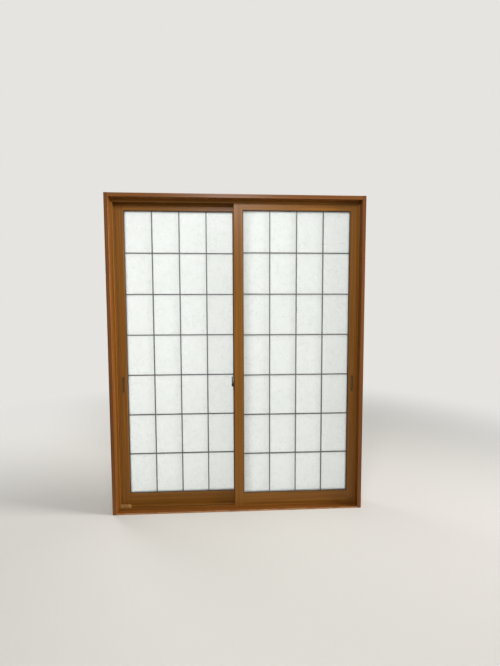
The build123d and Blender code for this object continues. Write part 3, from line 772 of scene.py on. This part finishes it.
@dataclass
class PileStrips:
    """Brushed pile on its backing, in place of a node's plain strips or blocks.

    The crown is the section of a strip, as shares of its width and height. Its corners above the
    backing are ragged.
    """

    node: str
    backing: float = 0.4
    step: float = mm(3.0)
    ragged: float = mm(0.16)
    crown: tuple[tuple[float, float], ...] = (
        (0.0, 0.0), (0.0, 0.3), (0.16, 0.34), (0.2, 0.8), (0.34, 0.97), (0.5, 1.0), (0.66, 0.97),
        (0.8, 0.8), (0.84, 0.34), (1.0, 0.3), (1.0, 0.0))

    def build(self) -> None:
        """Loft the ragged section along each strip, inside the plain one's box.

        A strip runs along X or Z, and its pile stands out along Y, away from the node's middle.
        """
        bm = bmesh.new()
        rng = random.Random(SEED)
        boxes = [extent(points) for points in islands(self.node)]
        centre = sum(((low + high) / 2 for low, high in boxes), Vector()) / len(boxes)
        for low, high in boxes:
            size = high - low
            along = max((0, 2), key=lambda i: size[i])
            across = 2 - along
            outward = 1.0 if (low.y + high.y) / 2 > centre.y else -1.0
            root_y = low.y if outward > 0 else high.y
            count = max(2, round(size[along] / self.step))
            before = None
            for n in range(count + 1):
                ring = []
                for u, rise in self.crown:
                    loose = rise > self.backing
                    slack = rng.uniform(0.0, self.ragged) if loose else 0.0
                    drift = rng.uniform(-self.ragged, self.ragged) if loose else 0.0
                    point = Vector((0.0, 0.0, 0.0))
                    point[along] = low[along] + size[along] * n / count
                    point[across] = low[across] + size[across] * u + drift
                    point.y = root_y + outward * (size.y * rise - slack)
                    ring.append(bm.verts.new(point))
                if before:
                    for i in range(len(ring)):
                        bm.faces.new((before[i - 1], before[i], ring[i], ring[i - 1]))
                else:
                    bm.faces.new(ring)
                before = ring
            bm.faces.new(before)
        add_piece(self.node + "_brushed", bm, PILE, self.node, crease=75.0)


@dataclass
class Casing:
    """The four boards that line the opening, and the screws at their corners."""

    front: float = -58.0
    shifts: dict[str, float] = field(default_factory=lambda: {
        "casing_head": 120.0, "casing_sill": 2310.0, "casing_jamb_left": 430.0,
        "casing_jamb_right": 3170.0})

    def build(self) -> None:
        """Dress each board with its own run of grain and build the screws."""
        for node, shift in self.shifts.items():
            grain = Grain.ALONG_Z if "jamb" in node else Grain.ALONG_X
            # Only the sill's front edge gets the lighter band, a painted highlight on its nose.
            wear_and_highlight_from = self.front if node == "casing_sill" else None
            dress(node, StainedSpruce("spruce_stained_varnished_" + node, grain, shift,
                                      wear_and_highlight_from=wear_and_highlight_from))
        CrossHeadScrews("casing_screws").build()


@dataclass
class TrackFrame:
    """The wrapped resin track frame with its runners, stops, buffers and draught blocks."""

    shifts: dict[str, float] = field(default_factory=lambda: {
        "track_head": 740.0, "track_sill": 1910.0, "track_jamb_left": 2660.0,
        "track_jamb_right": 90.0})

    def build(self) -> None:
        """Dress the profiles and everything that is fixed in them."""
        for node, shift in self.shifts.items():
            grain = Grain.ALONG_Z if "jamb" in node else Grain.ALONG_X
            dress(node, OakFilm("oak_film_on_extruded_resin_" + node, grain, shift))
        for node in ("runner_front", "runner_rear"):
            dress(node, RUNNER_METAL)
        for node in ("stop_block_front", "stop_block_rear"):
            dress(node, STOP_RESIN)
        dress("jamb_buffers", BUFFER_RUBBER)
        CrossHeadScrews("track_screws").build()
        PileStrips("draught_blocks", step=mm(1.5)).build()


@dataclass
class Sash:
    """One sliding sash with its double glazing, lattice, rollers and pull."""

    side: str
    shift: float
    member_shift: float = 557.0
    upright: tuple[str, ...] = ("outer_stile", "meeting_stile")
    level: tuple[str, ...] = ("top_rail", "bottom_rail")

    def dress_profiles(self) -> None:
        """Wrap the four profiles, each with its own run of the print."""
        for i, part in enumerate(self.upright + self.level):
            node = "%s_%s" % (self.side, part)
            grain = Grain.ALONG_Z if part in self.upright else Grain.ALONG_X
            dress(node, OakFilm("oak_film_on_extruded_resin_" + node, grain,
                                self.shift + self.member_shift * i))

    def dress_glazing(self) -> None:
        """Dress the two panes, the lattice between them and what holds them."""
        washi = FibreGlass("paper_film_glass_" + self.side, self.shift)
        for part, finish in (("room_pane", CLEAR_GLASS), ("washi_pane", washi),
                             ("spacer", SPACER_METAL), ("lattice_uprights", LATTICE_PAINT),
                             ("lattice_crossbars", LATTICE_PAINT),
                             ("room_gasket", GLAZING_RUBBER), ("outer_gasket", GLAZING_RUBBER)):
            dress("%s_%s" % (self.side, part), finish)

    def dress_fittings(self) -> None:
        """Dress the pull, the rollers and the guides, and build the screws and the pile."""
        for part, finish in (("finger_pull", PULL_RESIN), ("roller_cases", ZINC_STEEL),
                             ("roller_pins", ZINC_STEEL), ("wheel_inner", NYLON),
                             ("wheel_outer", NYLON), ("top_guides", NYLON)):
            dress("%s_%s" % (self.side, part), finish)
        CrossHeadScrews(self.side + "_corner_screws").build()
        PileStrips(self.side + "_pile_seals").build()

    def build(self) -> None:
        """Dress the whole sash."""
        self.dress_profiles()
        self.dress_glazing()
        self.dress_fittings()


@dataclass
class CrescentLock:
    """The crescent lock on the right sash and its keeper on the left one."""

    enamelled: tuple[str, ...] = ("lock_plate", "lock_lever")
    bare: tuple[str, ...] = ("lock_pin", "keeper")

    def build(self) -> None:
        """Dress the lock and build its screws."""
        for node in self.enamelled:
            dress(node, LOCK_ENAMEL)
        for node in self.bare:
            dress(node, ZINC_STEEL)
        for node in ("lock_screws", "keeper_screws"):
            CrossHeadScrews(node, plain_share=0.1).build()


def seen_directly(tree: bpy.types.NodeTree) -> bpy.types.NodeSocket:
    """Give 1 for rays from the camera, a reflection or a clear pane, and 0 for lighting rays."""
    path = add_node(tree, "ShaderNodeLightPath")
    mirror = add_node(tree, "ShaderNodeMath", {
        0: path.outputs["Is Glossy Ray"], 1: path.outputs["Is Transmission Ray"]},
        operation="MAXIMUM")
    return add_node(tree, "ShaderNodeMath", {
        0: path.outputs["Is Camera Ray"], 1: mirror.outputs[0]}, operation="MAXIMUM").outputs[0]


@dataclass(frozen=True)
class PaleFloor(Finish):
    """A matt pale floor that turns into the background's colour far from the panels."""

    near: str = "#CCC9C3"
    far: str = "#E6E4E0"
    roughness: float = 0.75
    shine: float = 0.2
    fade_from: float = 1.1
    fade_to: float = 4.2

    def shader(self, tree: bpy.types.NodeTree) -> bpy.types.NodeSocket:
        """Add the floor's paint and the fade, which only rays that see it get."""
        paint = add_node(tree, "ShaderNodeBsdfPrincipled", {
            "Base Color": linear(self.near), "Roughness": self.roughness,
            "Specular IOR Level": self.shine})
        haze = add_node(tree, "ShaderNodeEmission", {"Color": linear(self.far)})
        place = add_node(tree, "ShaderNodeTexCoord").outputs["Object"]
        radius = add_node(tree, "ShaderNodeVectorMath", {0: place}, operation="LENGTH")
        share = add_node(tree, "ShaderNodeMapRange", {
            "Value": radius.outputs["Value"], "From Min": self.fade_from,
            "From Max": self.fade_to}, interpolation_type="SMOOTHSTEP")
        mix = add_node(tree, "ShaderNodeMath", {0: share.outputs[0], 1: seen_directly(tree)},
                       operation="MULTIPLY")
        return add_node(tree, "ShaderNodeMixShader", {
            0: mix.outputs[0], 1: paint.outputs[0], 2: haze.outputs[0]}).outputs[0]


@dataclass(frozen=True)
class SoftBox:
    """A square soft lamp; a grid before it narrows its beam to spread, in degrees."""

    name: str
    place: tuple[float, float, float]
    watts: float
    width: float
    spread: float = 180.0


@dataclass
class Studio:
    """The pale floor, the even sky and the soft lamps."""

    floor_radius: float = 24.0
    floor_sides: int = 96
    sky: float = 0.37
    backdrop: str = "#E6E4E0"
    target: tuple[float, float, float] = (0.0, 0.0, 1.0)
    lamps: tuple[SoftBox, ...] = (
        SoftBox("side", (5.4, -0.9, 2.3), 80.0, 1.6, 70.0),
        SoftBox("ceiling", (-0.1, -1.9, 2.9), 35.0, 0.7),
        SoftBox("behind", (-3.4, 2.6, 1.2), 34.5, 1.8, 100.0),
    )

    def build_floor(self) -> None:
        """Build the floor as one wide disc."""
        bm = bmesh.new()
        step = 2 * math.pi / self.floor_sides
        bm.faces.new([bm.verts.new((self.floor_radius * math.cos(i * step),
                                    self.floor_radius * math.sin(i * step), 0.0))
                      for i in range(self.floor_sides)])
        mesh = bpy.data.meshes.new("studio_floor")
        bm.to_mesh(mesh)
        bm.free()
        mesh.materials.append(PaleFloor("studio_floor_paint").material())
        floor = bpy.data.objects.new("studio_floor", mesh)
        bpy.context.scene.collection.objects.link(floor)

    def build_sky(self) -> None:
        """Light everything evenly, and show a pale backdrop to the rays that see it."""
        world = bpy.data.worlds.new("studio_sky")
        bpy.context.scene.world = world
        world.use_nodes = True
        tree = world.node_tree
        tree.nodes.clear()
        light = add_node(tree, "ShaderNodeBackground", {
            "Color": (1.0, 1.0, 1.0, 1.0), "Strength": self.sky})
        shown = add_node(tree, "ShaderNodeBackground", {
            "Color": linear(self.backdrop), "Strength": 1.0})
        mix = add_node(tree, "ShaderNodeMixShader", {
            0: seen_directly(tree), 1: light.outputs[0], 2: shown.outputs[0]})
        add_node(tree, "ShaderNodeOutputWorld", {"Surface": mix.outputs[0]})

    def build_lamps(self) -> None:
        """Aim each soft box at the middle of the panels."""
        for box in self.lamps:
            data = bpy.data.lights.new(box.name, "AREA")
            data.shape = "SQUARE"
            data.size = box.width
            data.energy = box.watts
            data.spread = math.radians(box.spread)
            lamp = bpy.data.objects.new(box.name, data)
            lamp.location = box.place
            lamp.rotation_euler = (Vector(self.target) - Vector(box.place)).to_track_quat(
                "-Z", "Y").to_euler()
            lamp.visible_camera = False
            lamp.visible_transmission = False
            bpy.context.scene.collection.objects.link(lamp)
            log.info("lit by %s", box.name)

    def build(self) -> None:
        """Build the floor, the sky and the lamps, and keep the view plain."""
        self.build_floor()
        self.build_sky()
        self.build_lamps()
        bpy.context.scene.view_settings.view_transform = "Standard"


@dataclass(frozen=True)
class RoomCamera:
    """A wide camera in the room, at the photograph's place and angle.

    The place is in metres, and the turn is about X, Y and Z in degrees.
    """

    lens: float = 17.30
    place: tuple[float, float, float] = (-0.0176, -2.051, 1.274)
    turn: tuple[float, float, float] = (86.536, 0.164, -2.658)

    def build(self) -> None:
        """Build the camera and make it the scene's own."""
        data = bpy.data.cameras.new("room_camera")
        data.lens = self.lens
        camera = bpy.data.objects.new("room_camera", data)
        camera.location = self.place
        camera.rotation_euler = [math.radians(angle) for angle in self.turn]
        bpy.context.scene.collection.objects.link(camera)
        bpy.context.scene.camera = camera


def main() -> None:
    """Build and dress the panels, then the studio round them."""
    logging.basicConfig(level=logging.INFO, format="%(name)s: %(message)s")
    RoomCamera().build()
    Casing().build()
    TrackFrame().build()
    Sash("left", 510.0).build()
    Sash("right", 3890.0).build()
    CrescentLock().build()
    Studio().build()


if __name__ == "__main__":
    main()
